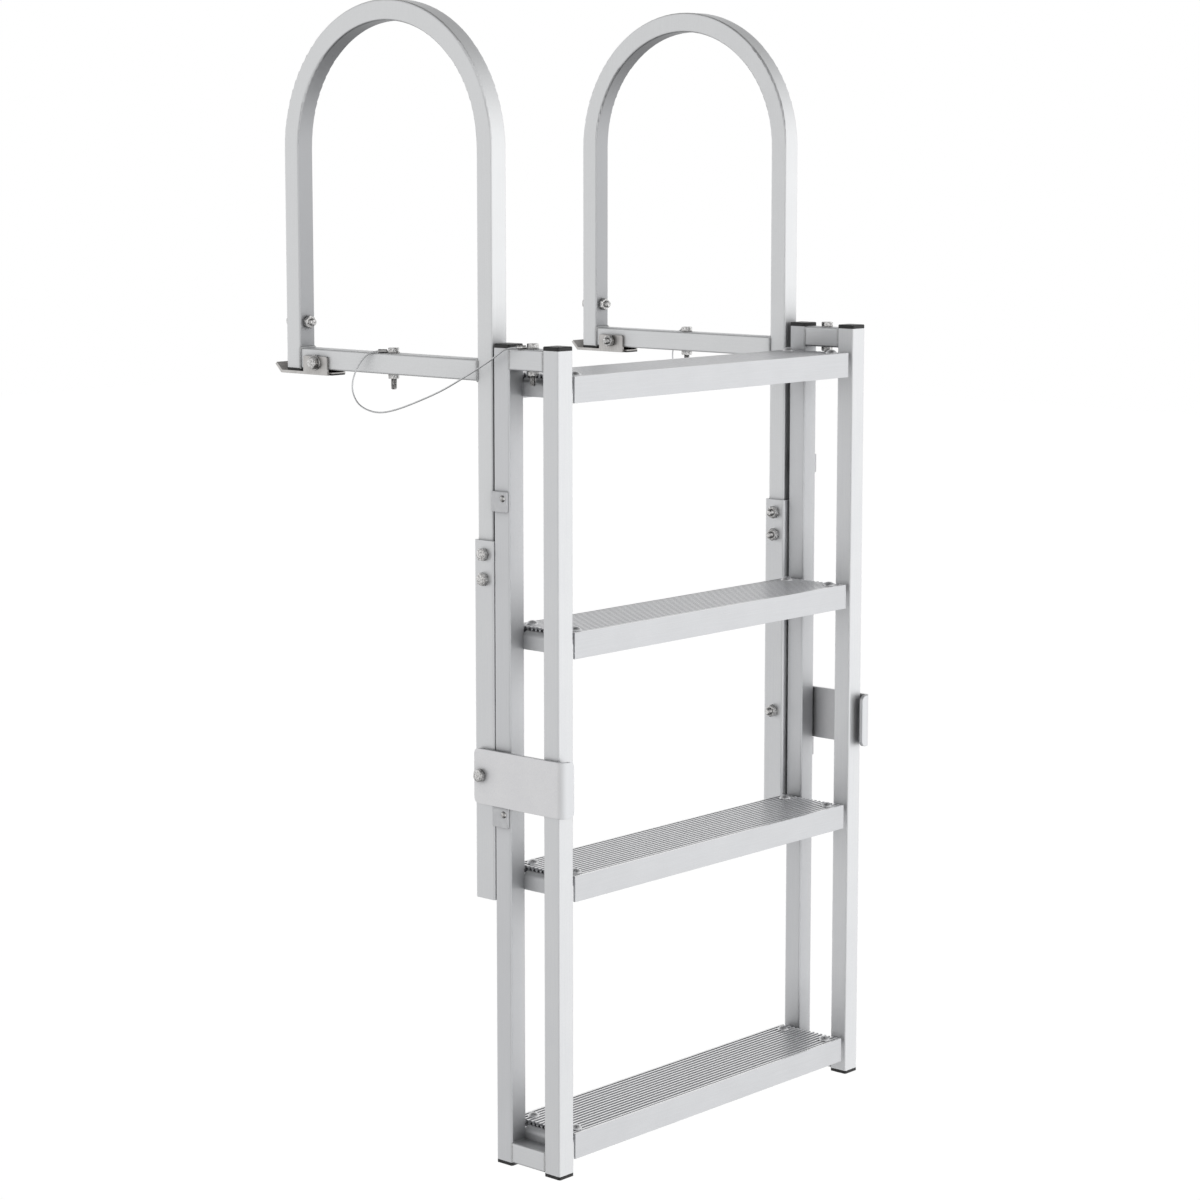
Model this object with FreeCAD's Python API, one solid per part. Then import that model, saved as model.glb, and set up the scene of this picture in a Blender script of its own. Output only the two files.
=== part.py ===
import FreeCAD, Part
import math
import os

os.makedirs("parts", exist_ok=True)

V = FreeCAD.Vector

# Working frame: X runs along the treads with 0 at mid width, -Y faces the water,
# +Z is up with 0 at the top of the ladder rails. Only the right side is drawn,
# the left side is its mirror image. All sizes are in mm.

# square tube shared by the ladder rails, the handrails and the deck bars
tube = 25.4
tube_wall = 2.4
tube_corner = 2.5
tube_bore_corner = 0.8

# ladder side frames
ladder_width = 588.8
rail_gap = 53.5
top_cap_height = 4.8
foot_cap_height = 4.0
plug_depth = 12.0
plug_play = 0.15

# treads: the first one's drop below the rail tops, the steps down from tread to tread,
# and the last one's rise above the rail feet
first_tread_drop = 30.8
tread_step_1 = 303.0
tread_step_2 = 293.8
tread_step_3 = 317.6
last_tread_rise = 45.8
tread_side_gap = 5.8
tread_front_setback = 3.0
tread_rear_setback = 1.0
tread_flange_height = 31.4
tread_flange_wall = 3.0
rib_count = 14
rib_height = 2.6
deck_wall = 1.9
reveal_width = 1.6

# angle brackets under each tread end
angle_wall = 4.0
angle_reach = 36.5
angle_drop = 22.0
angle_weld_reach = 2.5
angle_bend = 8.0
wing_gap = 1.0
tread_bolt_inset = 17.2
tread_bolt_front_inset = 14.9
tread_bolt_rear_inset = 15.4
tread_bolt_tip = 3.0

# fixed frame that stands on the dock
rail_to_post = 5.15
post_to_leg = 308.3
handrail_inset = 3.9
arch_top = 411.0
bar_top = -16.0
post_end_margin = 3.0

# sleeve over the lower post
sleeve_wall = 3.2
sleeve_play = 0.1
sleeve_corner = 3.1
sleeve_top = -231.0
sleeve_length = 437.6
sleeve_bolt_drop = 16.7
sleeve_bolt_spacing = 29.9

# bent guide bracket that holds the ladder against the sleeve
guide_wall = 4.6
guide_side_gap = 2.0
guide_front_gap = 7.7
guide_top = -483.0
guide_height = 67.5
guide_rear_inset = 5.25
guide_bend = 10.0
guide_corner = 7.0
guide_lip_reach = 19.2
guide_bolt_drop = 32.5
guide_pad_height = 44.0

# stop clips on the outer face of the rear rails
clip_height = 24.0
clip_wall = 4.0
clip_hook_wall = 1.2
clip_hook_reach = 10.0
clip_front_y = 2.0
clip_corner = 1.6
stop_margin = 1.0
travel = 288.0
screw_setback = 6.4
screw_drop = 8.0

# dock foot under each back leg
foot_wall = 3.6
foot_ear_wall = 3.0
foot_rear_overhang = 7.4
foot_length = 84.0
foot_toe = 4.0
foot_pad_width = 22.0
foot_pad_length = 25.0
foot_pad_height = 1.8
foot_lip_rise = 10.4
ear_length = 43.0
ear_centre_to_foot_rear = 62.4
ear_top_drop = 9.0
ear_corner = 2.5
foot_bolt_drop = 16.9
leg_cap_height = 3.2
leg_bolt_rise = 32.0

# bolts: shank and head sizes
hole_play = 0.2
big_shank = 9.5
big_across_flats = 14.3
big_head = 5.8
big_nut = 7.0
big_stud = 6.0
small_shank = 7.9
small_across_flats = 12.7
small_head = 5.4
small_nut = 6.0
dome_diameter = 15.4
dome_height = 4.6
screw_shank = 3.6
screw_head_diameter = 7.0
screw_head_height = 2.6

# wire lanyards with an eye at each end
wire = 2.0
eye_wall = 1.4
eye_diameter = 15.0
barrel_diameter = 4.6
barrel_length = 11.0
barrel_start = 8.2
barrel_socket = 6.0
bar_bolt_stud = 13.0
rail_bolt_stud = 12.0

# derived places
half_width = ladder_width / 2
rail_x = half_width - tube / 2
rail_inner_x = half_width - tube
tread_drops = [first_tread_drop]
for step in (tread_step_1, tread_step_2, tread_step_3):
    tread_drops.append(tread_drops[-1] + step)
rail_length = tread_drops[-1] + last_tread_rise
rear_rail_y = tube / 2
front_rail_y = -rail_gap - tube / 2
front_face_y = -rail_gap - tube
handrail_x = half_width - handrail_inset - tube / 2
post_y = tube + rail_to_post + tube / 2
leg_y = post_y + post_to_leg + tube
arch_radius = (leg_y - post_y) / 2
arch_y = (leg_y + post_y) / 2
arch_z = arch_top - tube / 2 - arch_radius
bar_bottom = bar_top - tube
sleeve_half = tube / 2 + sleeve_play + sleeve_wall
sleeve_bottom = sleeve_top - sleeve_length
sleeve_outer_x = handrail_x + sleeve_half
foot_top = bar_bottom - leg_cap_height
foot_bottom = foot_top - foot_wall
foot_rear_y = leg_y + tube / 2 + foot_rear_overhang
foot_front_y = foot_rear_y - foot_length
foot_y = (foot_rear_y + foot_front_y) / 2
ear_y = foot_rear_y - ear_centre_to_foot_rear
guide_inner_x = half_width + guide_side_gap
guide_outer_x = guide_inner_x + guide_wall
guide_lip_y = front_face_y - guide_front_gap - guide_wall
guide_lip_end_x = guide_outer_x - guide_lip_reach
guide_rear_y = post_y + sleeve_half - guide_rear_inset
guide_bolt_z = guide_top - guide_bolt_drop
lower_clip_top = guide_top - guide_height - stop_margin
upper_clip_top = guide_top + stop_margin + travel + clip_height
lanyard_bar_y = arch_y
lanyard_rail_y = -rail_gap / 2

# the origin moves to the middle of the left foot's underside at export
to_origin = V(handrail_x, -foot_y, -foot_bottom)


def save(name, shape):
    placed = shape.copy()
    placed.translate(to_origin)
    placed.exportStep("parts/" + name + ".step")


def mirrored(shape):
    return shape.mirror(V(0, 0, 0), V(1, 0, 0))


def save_pair(name, shape):
    save("right_" + name, shape)
    save("left_" + name, mirrored(shape))


def save_both(name, shapes):
    solids = []
    for shape in shapes:
        solids.append(shape)
        solids.append(mirrored(shape))
    save(name, Part.makeCompound(solids))


def box(x0, x1, y0, y1, z0, z1):
    return Part.makeBox(x1 - x0, y1 - y0, z1 - z0, V(x0, y0, z0))


def rod(diameter, start, axis, length):
    return Part.makeCylinder(diameter / 2, length, start, axis)


def square_face(size, corner):
    # rounded square around the origin in the XY plane
    half = size / 2
    flat = half - corner
    diagonal = flat + corner * math.sqrt(0.5)
    edges = []
    for turn in range(4):
        a = math.radians(90 * turn)
        c = round(math.cos(a))
        s = round(math.sin(a))

        def at(x, y):
            return V(c * x - s * y, s * x + c * y, 0)

        edges.append(Part.makeLine(at(half, -flat), at(half, flat)))
        bend = Part.Arc(at(half, flat), at(diagonal, diagonal), at(flat, half))
        edges.append(bend.toShape())
    return Part.Face(Part.Wire(edges))


def outer_face():
    return square_face(tube, tube_corner)


def bore_face():
    return square_face(tube - 2 * tube_wall, tube_bore_corner)


def upright(face, x, y, z0, z1):
    shape = face.copy()
    shape.translate(V(x, y, z0))
    return shape.extrude(V(0, 0, z1 - z0))


def along_y(face, x, z, y0, y1):
    shape = face.copy()
    shape.rotate(V(0, 0, 0), V(1, 0, 0), 90)
    shape.translate(V(x, y0, z))
    return shape.extrude(V(0, y1 - y0, 0))


def upright_tube(x, y, z0, z1):
    return upright(outer_face(), x, y, z0, z1).cut(upright(bore_face(), x, y, z0, z1))


def cross_tube(x, z, y0, y1):
    return along_y(outer_face(), x, z, y0, y1).cut(along_y(bore_face(), x, z, y0, y1))


def hexagon(across_flats, start, axis, length):
    # six-sided prism, one pair of corners along the most upright direction
    radius = across_flats / math.sqrt(3)
    points = []
    for i in range(7):
        a = math.radians(60 * i)
        points.append(V(radius * math.cos(a), radius * math.sin(a), 0))
    prism = Part.Face(Part.makePolygon(points)).extrude(V(0, 0, length))
    prism.Placement = FreeCAD.Placement(start, FreeCAD.Rotation(V(0, 0, 1), axis))
    return prism


def hex_bolt(kind, start, axis, grip, stud):
    # start is the seat under the head, the shank runs along axis
    if kind == "big":
        shank, flats, head, nut = big_shank, big_across_flats, big_head, big_nut
    else:
        shank, flats, head, nut = small_shank, small_across_flats, small_head, small_nut
    bolt = rod(shank, start, axis, grip + nut + stud)
    bolt = bolt.fuse(hexagon(flats, start - axis * head, axis, head))
    bolt = bolt.fuse(hexagon(flats, start + axis * grip, axis, nut))
    return bolt.removeSplitter()


def bolt_hole(kind, start, axis, length):
    shank = big_shank if kind == "big" else small_shank
    return rod(shank + 2 * hole_play, start - axis * 5, axis, length + 10)


# handrail: back leg, half-round arch and post in one bent tube
def handrail_core(face):
    leg = upright(face, handrail_x, leg_y, bar_bottom, arch_z)
    post = upright(face, handrail_x, post_y, sleeve_bottom + post_end_margin, arch_z)
    end = face.copy()
    end.translate(V(handrail_x, leg_y, arch_z))
    arch = end.revolve(V(handrail_x, arch_y, arch_z), V(1, 0, 0), 180)
    return leg.fuse([post, arch]).removeSplitter()


inward = V(-1, 0, 0)
upper_sleeve_seat = V(sleeve_outer_x, post_y, sleeve_top - sleeve_bolt_drop)
sleeve_bolt_seats = [upper_sleeve_seat, upper_sleeve_seat - V(0, 0, sleeve_bolt_spacing)]
guide_bolt_seat = V(guide_outer_x, post_y, guide_bolt_z)
foot_bolt_seat = V(handrail_x + tube / 2 + foot_ear_wall, ear_y, bar_top - foot_bolt_drop)
leg_bolt_seat = V(handrail_x, leg_y + tube / 2, bar_top + leg_bolt_rise)
bar_bolt_seat = V(handrail_x, lanyard_bar_y, bar_top + eye_wall)
rail_bolt_seat = V(rail_x, lanyard_rail_y, eye_wall)

cross_bolt_holes = [bolt_hole("big", s, inward, 2 * tube) for s in sleeve_bolt_seats]
cross_bolt_holes.append(bolt_hole("big", guide_bolt_seat, inward, 2 * tube))
leg_hole = bolt_hole("big", leg_bolt_seat, V(0, -1, 0), tube)
foot_hole = bolt_hole("big", foot_bolt_seat, inward, tube + 2 * foot_ear_wall)
bar_hole = bolt_hole("small", bar_bolt_seat, V(0, 0, -1), tube)

handrail = handrail_core(outer_face()).cut(handrail_core(bore_face()))
handrail = handrail.cut(cross_bolt_holes + [leg_hole])
save_pair("handrail", handrail)

deck_bar = cross_tube(handrail_x, bar_top - tube / 2, post_y + tube / 2, leg_y - tube / 2)
save_pair("deck_bar", deck_bar.cut([foot_hole, bar_hole]))

# sleeve bolted over the lower post
sleeve = upright(square_face(2 * sleeve_half, sleeve_corner),
                 handrail_x, post_y, sleeve_bottom, sleeve_top)
sleeve_bore = upright(square_face(tube + 2 * sleeve_play, tube_corner),
                      handrail_x, post_y, sleeve_bottom, sleeve_top)
save_pair("post_sleeve", sleeve.cut(sleeve_bore).cut(cross_bolt_holes))

sleeve_grip = 2 * sleeve_half
save_both("sleeve_bolts",
          [hex_bolt("big", s, inward, sleeve_grip, big_stud) for s in sleeve_bolt_seats])
guide_grip = sleeve_grip + guide_outer_x - sleeve_outer_x
save_both("guide_bolts", [hex_bolt("big", guide_bolt_seat, inward, guide_grip, big_stud)])


# guide bracket: side plate, quarter bend and front lip in plan, raised pad on the sleeve
def guide_bracket():
    inner_bend = guide_bend - guide_wall
    bend_x = guide_outer_x - guide_bend
    bend_y = guide_lip_y + guide_bend
    half_turn = math.sqrt(0.5)
    corner_points = []
    for radius in (guide_bend, inner_bend):
        corner_points.append([V(bend_x + radius, bend_y, 0),
                              V(bend_x + radius * half_turn, bend_y - radius * half_turn, 0),
                              V(bend_x, bend_y - radius, 0)])
    outer, inner = corner_points
    tip_outer = V(guide_lip_end_x, guide_lip_y, 0)
    tip_inner = V(guide_lip_end_x, guide_lip_y + guide_wall, 0)
    tail_outer = V(guide_outer_x, guide_rear_y, 0)
    tail_inner = V(guide_inner_x, guide_rear_y, 0)
    edges = [Part.makeLine(tail_outer, outer[0]),
             Part.Arc(*outer).toShape(),
             Part.makeLine(outer[2], tip_outer),
             Part.makeLine(tip_outer, tip_inner),
             Part.makeLine(tip_inner, inner[2]),
             Part.Arc(inner[2], inner[1], inner[0]).toShape(),
             Part.makeLine(inner[0], tail_inner),
             Part.makeLine(tail_inner, tail_outer)]
    bracket = Part.Face(Part.Wire(edges)).extrude(V(0, 0, guide_height))
    bracket.translate(V(0, 0, guide_top - guide_height))
    corners = []
    for edge in bracket.Edges:
        a, b = edge.Vertexes[0].Point, edge.Vertexes[-1].Point
        at_tail = abs(a.y - guide_rear_y) < 0.01 and abs(b.y - guide_rear_y) < 0.01
        at_tip = abs(a.x - guide_lip_end_x) < 0.01 and abs(b.x - guide_lip_end_x) < 0.01
        if (at_tail or at_tip) and abs(a.z - b.z) < 0.01:
            corners.append(edge)
    bracket = bracket.makeFillet(guide_corner, corners)
    pad_half_z = guide_pad_height / 2
    pad = box(sleeve_outer_x, guide_inner_x, post_y - sleeve_half + 1.0, guide_rear_y - 1.0,
              guide_bolt_z - pad_half_z, guide_bolt_z + pad_half_z)
    return bracket.fuse(pad).removeSplitter().cut(cross_bolt_holes[2])


save_pair("guide_bracket", guide_bracket())

# dock foot: base plate with a rubber pad let into its front end, two ears beside the bar
# and a rear lip
foot_half = tube / 2 + foot_ear_wall
foot_x0 = handrail_x - foot_half
foot_x1 = handrail_x + foot_half
toe_front_y = foot_front_y - foot_toe
toe_x0 = handrail_x - foot_pad_width / 2
toe_x1 = handrail_x + foot_pad_width / 2
toe_pad = box(toe_x0, toe_x1, toe_front_y, toe_front_y + foot_pad_length,
              foot_bottom, foot_bottom + foot_pad_height)
base = box(foot_x0, foot_x1, foot_front_y, foot_rear_y, foot_bottom, foot_top).cut(toe_pad)
toe = box(toe_x0, toe_x1, toe_front_y, foot_front_y, foot_bottom + foot_pad_height, foot_top)
lip_shift = foot_wall * math.tan(math.radians(22.5))
lip_outline = [V(0, foot_rear_y, foot_bottom),
               V(0, foot_rear_y + foot_lip_rise, foot_bottom + foot_lip_rise),
               V(0, foot_rear_y + foot_lip_rise - foot_wall * math.sqrt(0.5),
                 foot_bottom + foot_lip_rise + foot_wall * math.sqrt(0.5)),
               V(0, foot_rear_y - lip_shift, foot_top),
               V(0, foot_rear_y - lip_shift, foot_bottom)]
lip_outline.append(lip_outline[0])
lip = Part.Face(Part.makePolygon(lip_outline)).extrude(V(foot_x1 - foot_x0, 0, 0))
lip.translate(V(foot_x0, 0, 0))
ears = []
for ear_x in (foot_x0, foot_x1 - foot_ear_wall):
    ear = box(ear_x, ear_x + foot_ear_wall, ear_y - ear_length / 2, ear_y + ear_length / 2,
              foot_bottom + 0.5, bar_top - ear_top_drop)
    rounded = [e for e in ear.Edges if abs(e.Vertexes[0].Z - (bar_top - ear_top_drop)) < 0.01
               and abs(e.Vertexes[-1].Z - (bar_top - ear_top_drop)) < 0.01
               and abs(e.Vertexes[0].Y - e.Vertexes[-1].Y) < 0.01]
    ears.append(ear.makeFillet(ear_corner, rounded))
foot = base.fuse([toe, lip] + ears).removeSplitter().cut(foot_hole)
save_pair("dock_foot", foot)
save_both("foot_toe_pads", [toe_pad])
leg_cap = upright(square_face(tube, tube_corner), handrail_x, leg_y,
                  bar_bottom - leg_cap_height, bar_bottom)
leg_plug = upright(square_face(tube - 2 * tube_wall - 2 * plug_play, tube_bore_corner),
                   handrail_x, leg_y, bar_bottom, bar_bottom + plug_depth)
save_both("leg_end_caps", [leg_cap.fuse(leg_plug)])
foot_grip = tube + 2 * foot_ear_wall
save_both("foot_bolts", [hex_bolt("big", foot_bolt_seat, inward, foot_grip, big_stud)])
save_both("leg_bolts", [hex_bolt("big", leg_bolt_seat, V(0, -1, 0), tube, big_stud)])

# ladder rails with caps, cross tubes welded between them
rail_bolt_hole = bolt_hole("small", rail_bolt_seat, V(0, 0, -1), tube)
screw_axis = V(-1, 0, 0)
screw_y = clip_front_y + screw_setback
screw_seats = []
for clip_top in (upper_clip_top, lower_clip_top):
    screw_seats.append(V(half_width + clip_wall, screw_y, clip_top - screw_drop))
screw_grip = clip_wall + tube_wall
screw_holes = [rod(screw_shank + 0.1, s + V(1, 0, 0), screw_axis, screw_grip + 2)
               for s in screw_seats]

save_pair("front_rail", upright_tube(rail_x, front_rail_y, -rail_length, 0))
save_pair("rear_rail", upright_tube(rail_x, rear_rail_y, -rail_length, 0).cut(screw_holes))
top_tube = cross_tube(rail_x, -tube / 2, -rail_gap, 0)
save_pair("top_cross_tube", top_tube.cut(rail_bolt_hole))
save_pair("bottom_cross_tube", cross_tube(rail_x, tube / 2 - rail_length, -rail_gap, 0))

plug_face = square_face(tube - 2 * tube_wall - 2 * plug_play, tube_bore_corner)
top_caps = []
foot_caps = []
for y in (front_rail_y, rear_rail_y):
    cap = upright(outer_face(), rail_x, y, 0, top_cap_height)
    rim = [e for e in cap.Edges if min(v.Z for v in e.Vertexes) > top_cap_height - 0.01]
    cap = cap.makeChamfer(0.8, rim)
    top_caps.append(cap.fuse(upright(plug_face, rail_x, y, -plug_depth, 0)))
    shoe = upright(outer_face(), rail_x, y, -rail_length - foot_cap_height, -rail_length)
    plug = upright(plug_face, rail_x, y, -rail_length, -rail_length + plug_depth)
    foot_caps.append(shoe.fuse(plug))
save_both("rail_top_caps", top_caps)
save_both("rail_foot_caps", foot_caps)


# stop clips: outer leg on the rail side, thin hook round the rear corner
def stop_clip(clip_top):
    hook_y = tube + clip_hook_wall
    leg = box(half_width, half_width + clip_wall, clip_front_y, hook_y,
              clip_top - clip_height, clip_top)
    edges = [e for e in leg.Edges if min(v.X for v in e.Vertexes) > half_width + clip_wall - 0.01]
    leg = leg.makeFillet(clip_corner, [e for e in edges
                                       if abs(e.Vertexes[0].Z - e.Vertexes[-1].Z) > 1])
    hook = box(half_width - clip_hook_reach, half_width + clip_wall / 2, tube, hook_y,
               clip_top - clip_height, clip_top)
    return leg.fuse(hook).removeSplitter()


clips = []
for clip_top in (upper_clip_top, lower_clip_top):
    clips.append(stop_clip(clip_top).cut(screw_holes))
save_both("upper_stop_clips", clips[:1])
save_both("lower_stop_clips", clips[1:])


def dome(diameter, height, seat, axis):
    # round head whose flat side lies on the seat, bulging against axis
    radius = (diameter * diameter / 4 + height * height) / (2 * height)
    ball = Part.makeSphere(radius, seat + axis * (radius - height))
    keep = Part.makeCylinder(diameter / 2 + 0.01, height + 1, seat - axis * (height + 1), axis)
    return ball.common(keep)


def round_screw(diameter, height, shank, seat, axis, length):
    return dome(diameter, height, seat, axis).fuse(rod(shank, seat, axis, length)).removeSplitter()


save_both("stop_clip_screws",
          [round_screw(screw_head_diameter, screw_head_height, screw_shank, s, screw_axis,
                       screw_grip) for s in screw_seats])

# treads: ribbed deck over a corrugated underside, flange at the front and the rear
tread_front = front_face_y + tread_front_setback
tread_rear = tube - tread_rear_setback
deck_front = tread_front + tread_flange_wall + reveal_width
deck_rear = tread_rear - tread_flange_wall
rib_pitch = (deck_rear - deck_front) / rib_count
deck_bottom = rib_height + deck_wall
tread_length = 2 * (rail_inner_x - tread_side_gap)
tread_bolt_x = tread_length / 2 - tread_bolt_inset
tread_bolt_rows = [tread_front + tread_bolt_front_inset, tread_rear - tread_bolt_rear_inset]


def tread_outline():
    # closed section in the YZ plane, z = 0 at the rib tops
    slope = rib_pitch * 0.12
    land = rib_pitch / 2 - slope
    top = [V(0, tread_front, 0), V(0, tread_front + tread_flange_wall, 0),
           V(0, tread_front + tread_flange_wall, -rib_height), V(0, deck_front, -rib_height)]
    under = []
    for i in range(rib_count):
        y = deck_front + i * rib_pitch
        top += [V(0, y + slope, 0), V(0, y + slope + land, 0),
                V(0, y + 2 * slope + land, -rib_height), V(0, y + rib_pitch, -rib_height)]
        under += [V(0, y + slope, -deck_wall), V(0, y + slope + land, -deck_wall),
                  V(0, y + 2 * slope + land, -rib_height - deck_wall),
                  V(0, y + rib_pitch, -rib_height - deck_wall)]
    top += [V(0, deck_rear, 0), V(0, tread_rear, 0), V(0, tread_rear, -tread_flange_height),
            V(0, deck_rear, -tread_flange_height)]
    under.reverse()
    front_inside = tread_front + tread_flange_wall
    closing = [V(0, front_inside, -rib_height - deck_wall),
               V(0, front_inside, -tread_flange_height),
               V(0, tread_front, -tread_flange_height), V(0, tread_front, 0)]
    return Part.makePolygon(top + under + [V(0, deck_front, -rib_height - deck_wall)] + closing)


# angle bracket: foot under the deck, drop leg welded between the two rails
def tread_angle(top, leg_drop):
    x1 = rail_inner_x + angle_weld_reach
    x0 = x1 - angle_reach
    half_turn = math.sqrt(0.5)
    edges = []
    inner_bend = angle_bend - angle_wall
    cx = x1 - angle_bend
    cz = -angle_bend
    edges.append(Part.makeLine(V(x0, 0, 0), V(cx, 0, 0)))
    edges.append(Part.Arc(V(cx, 0, 0), V(cx + angle_bend * half_turn, 0, cz + angle_bend * half_turn),
                          V(x1, 0, cz)).toShape())
    edges.append(Part.makeLine(V(x1, 0, cz), V(x1, 0, -leg_drop)))
    edges.append(Part.makeLine(V(x1, 0, -leg_drop), V(x1 - angle_wall, 0, -leg_drop)))
    edges.append(Part.makeLine(V(x1 - angle_wall, 0, -leg_drop), V(x1 - angle_wall, 0, cz)))
    edges.append(Part.Arc(V(x1 - angle_wall, 0, cz),
                          V(cx + inner_bend * half_turn, 0, cz + inner_bend * half_turn),
                          V(cx, 0, -angle_wall)).toShape())
    edges.append(Part.makeLine(V(cx, 0, -angle_wall), V(x0, 0, -angle_wall)))
    edges.append(Part.makeLine(V(x0, 0, -angle_wall), V(x0, 0, 0)))
    strip = Part.Face(Part.Wire(edges)).extrude(V(0, rail_gap, 0))
    strip.translate(V(0, -rail_gap, top))
    wing = box(x0, cx - wing_gap, tread_front + tread_flange_wall + wing_gap, deck_rear - wing_gap,
               top - angle_wall, top)
    return strip.fuse(wing).removeSplitter()


# the lowest drop legs stand on the bottom cross tubes
leg_drops = 3 * [angle_drop] + [last_tread_rise - deck_bottom - tube]
for number, (drop, leg_drop) in enumerate(zip(tread_drops, leg_drops), 1):
    section = Part.Face(tread_outline())
    tread = section.extrude(V(tread_length, 0, 0))
    tread.translate(V(-tread_length / 2, 0, -drop))
    holes = []
    bolts = []
    for y in tread_bolt_rows:
        seat = V(tread_bolt_x, y, -drop)
        holes.append(bolt_hole("small", seat, V(0, 0, -1), 2 * (deck_bottom + angle_wall)))
        bolt = round_screw(dome_diameter, dome_height, small_shank, seat, V(0, 0, -1),
                           deck_bottom + angle_wall + small_nut + tread_bolt_tip)
        bolt = bolt.fuse(hexagon(small_across_flats, seat - V(0, 0, deck_bottom + angle_wall),
                                 V(0, 0, -1), small_nut))
        bolts.append(bolt.removeSplitter())
    angle = tread_angle(-drop - deck_bottom, leg_drop).cut(holes)
    save("tread_%d" % number, tread.cut(holes + [mirrored(h) for h in holes]))
    save_both("tread_%d_angles" % number, [angle])
    save_both("tread_%d_bolts" % number, bolts)


# wire eyes: flat ring under the bolt head with a tongue into a crimped barrel
def wire_eye(seat, direction):
    ring_bottom = seat - V(0, 0, eye_wall)
    ring = rod(eye_diameter, ring_bottom, V(0, 0, 1), eye_wall)
    tongue = Part.makeBox(barrel_start + 2.0, barrel_diameter - 1.0, eye_wall,
                          V(0, 0.5 - barrel_diameter / 2, 0))
    heading = math.degrees(math.atan2(direction.y, direction.x))
    tongue.rotate(V(0, 0, 0), V(0, 0, 1), heading)
    tongue.translate(ring_bottom)
    start = ring_bottom + direction * barrel_start + V(0, 0, barrel_diameter / 2 + 0.1)
    barrel = rod(barrel_diameter, start, direction, barrel_length)
    wire_end = start + direction * (barrel_length - barrel_socket)
    socket = rod(wire, wire_end, direction, barrel_socket + 1)
    eye = ring.fuse([tongue, barrel]).cut([socket, bolt_hole("small", seat, V(0, 0, -1), 4)])
    return eye.removeSplitter(), wire_end


def unit(x, y):
    d = math.hypot(x, y)
    return V(x / d, y / d, 0)


bar_eye_way = unit(0.6, 1.0)
rail_eye_way = unit(1.0, 0.8)
bar_eye, bar_wire_start = wire_eye(bar_bolt_seat, bar_eye_way)
rail_eye, rail_wire_start = wire_eye(rail_bolt_seat, rail_eye_way)
save_both("lanyard_bar_eyes", [bar_eye])
save_both("lanyard_rail_eyes", [rail_eye])
save_both("lanyard_bar_bolts", [hex_bolt("small", bar_bolt_seat, V(0, 0, -1), tube + eye_wall,
                                         bar_bolt_stud)])
save_both("lanyard_rail_bolts", [hex_bolt("small", rail_bolt_seat, V(0, 0, -1), tube + eye_wall,
                                          rail_bolt_stud)])

# lanyard route on the right side, from the deck bar to the top cross tube
wire_route = [bar_wire_start,
              bar_wire_start + bar_eye_way * 17.0,
              V(300.0, 252.0, -33.0),
              V(304.0, 259.0, -58.0),
              V(305.0, 249.0, -77.0),
              V(305.0, 231.0, -85.5),
              V(305.0, 207.0, -88.0),
              V(305.0, 178.0, -82.0),
              V(305.0, 143.0, -70.5),
              V(305.0, 101.0, -55.0),
              V(305.0, 66.0, -38.0),
              V(305.0, 36.0, -23.0),
              V(305.0, 11.4, -9.5),
              rail_wire_start + rail_eye_way * 18.0,
              rail_wire_start]


def wire_tube(points, diameter):
    pieces = []
    last = points[0]
    radii = []
    for i in range(1, len(points) - 1):
        corner = points[i]
        back = points[i - 1] - corner
        ahead = points[i + 1] - corner
        turn = math.pi - back.getAngle(ahead)
        trim = 0.45 * min(back.Length, ahead.Length)
        radii.append(round(trim / math.tan(turn / 2), 1))
        a = corner + back.normalize() * trim
        b = corner + ahead.normalize() * trim
        middle = (a + b) * 0.5
        to_corner = corner - middle
        chord_half = (b - a).Length / 2
        sagitta = chord_half * math.tan(turn / 4)
        top = middle + to_corner.normalize() * sagitta
        pieces.append(Part.LineSegment(last, a).toShape())
        pieces.append(Part.Arc(a, top, b).toShape())
        last = b
    pieces.append(Part.LineSegment(last, points[-1]).toShape())
    print("bend radii", radii)
    path = Part.Wire(pieces)
    start_direction = points[1] - points[0]
    ring = Part.Wire(Part.makeCircle(diameter / 2, points[0], start_direction))
    tube_shape = path.makePipeShell([ring], True, False)
    print("wire length", round(path.Length, 1), "volume ratio",
          round(tube_shape.Volume / (path.Length * math.pi * diameter * diameter / 4), 4))
    return tube_shape


save_pair("lanyard", wire_tube(wire_route, wire))

print("origin shift", [round(c, 3) for c in to_origin])
print("foot underside centre in the working frame", round(handrail_x, 3), round(foot_y, 3),
      round(foot_bottom, 3))
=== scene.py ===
import math

import bmesh
import bpy
import numpy as np
from mathutils import Matrix, Vector


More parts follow.
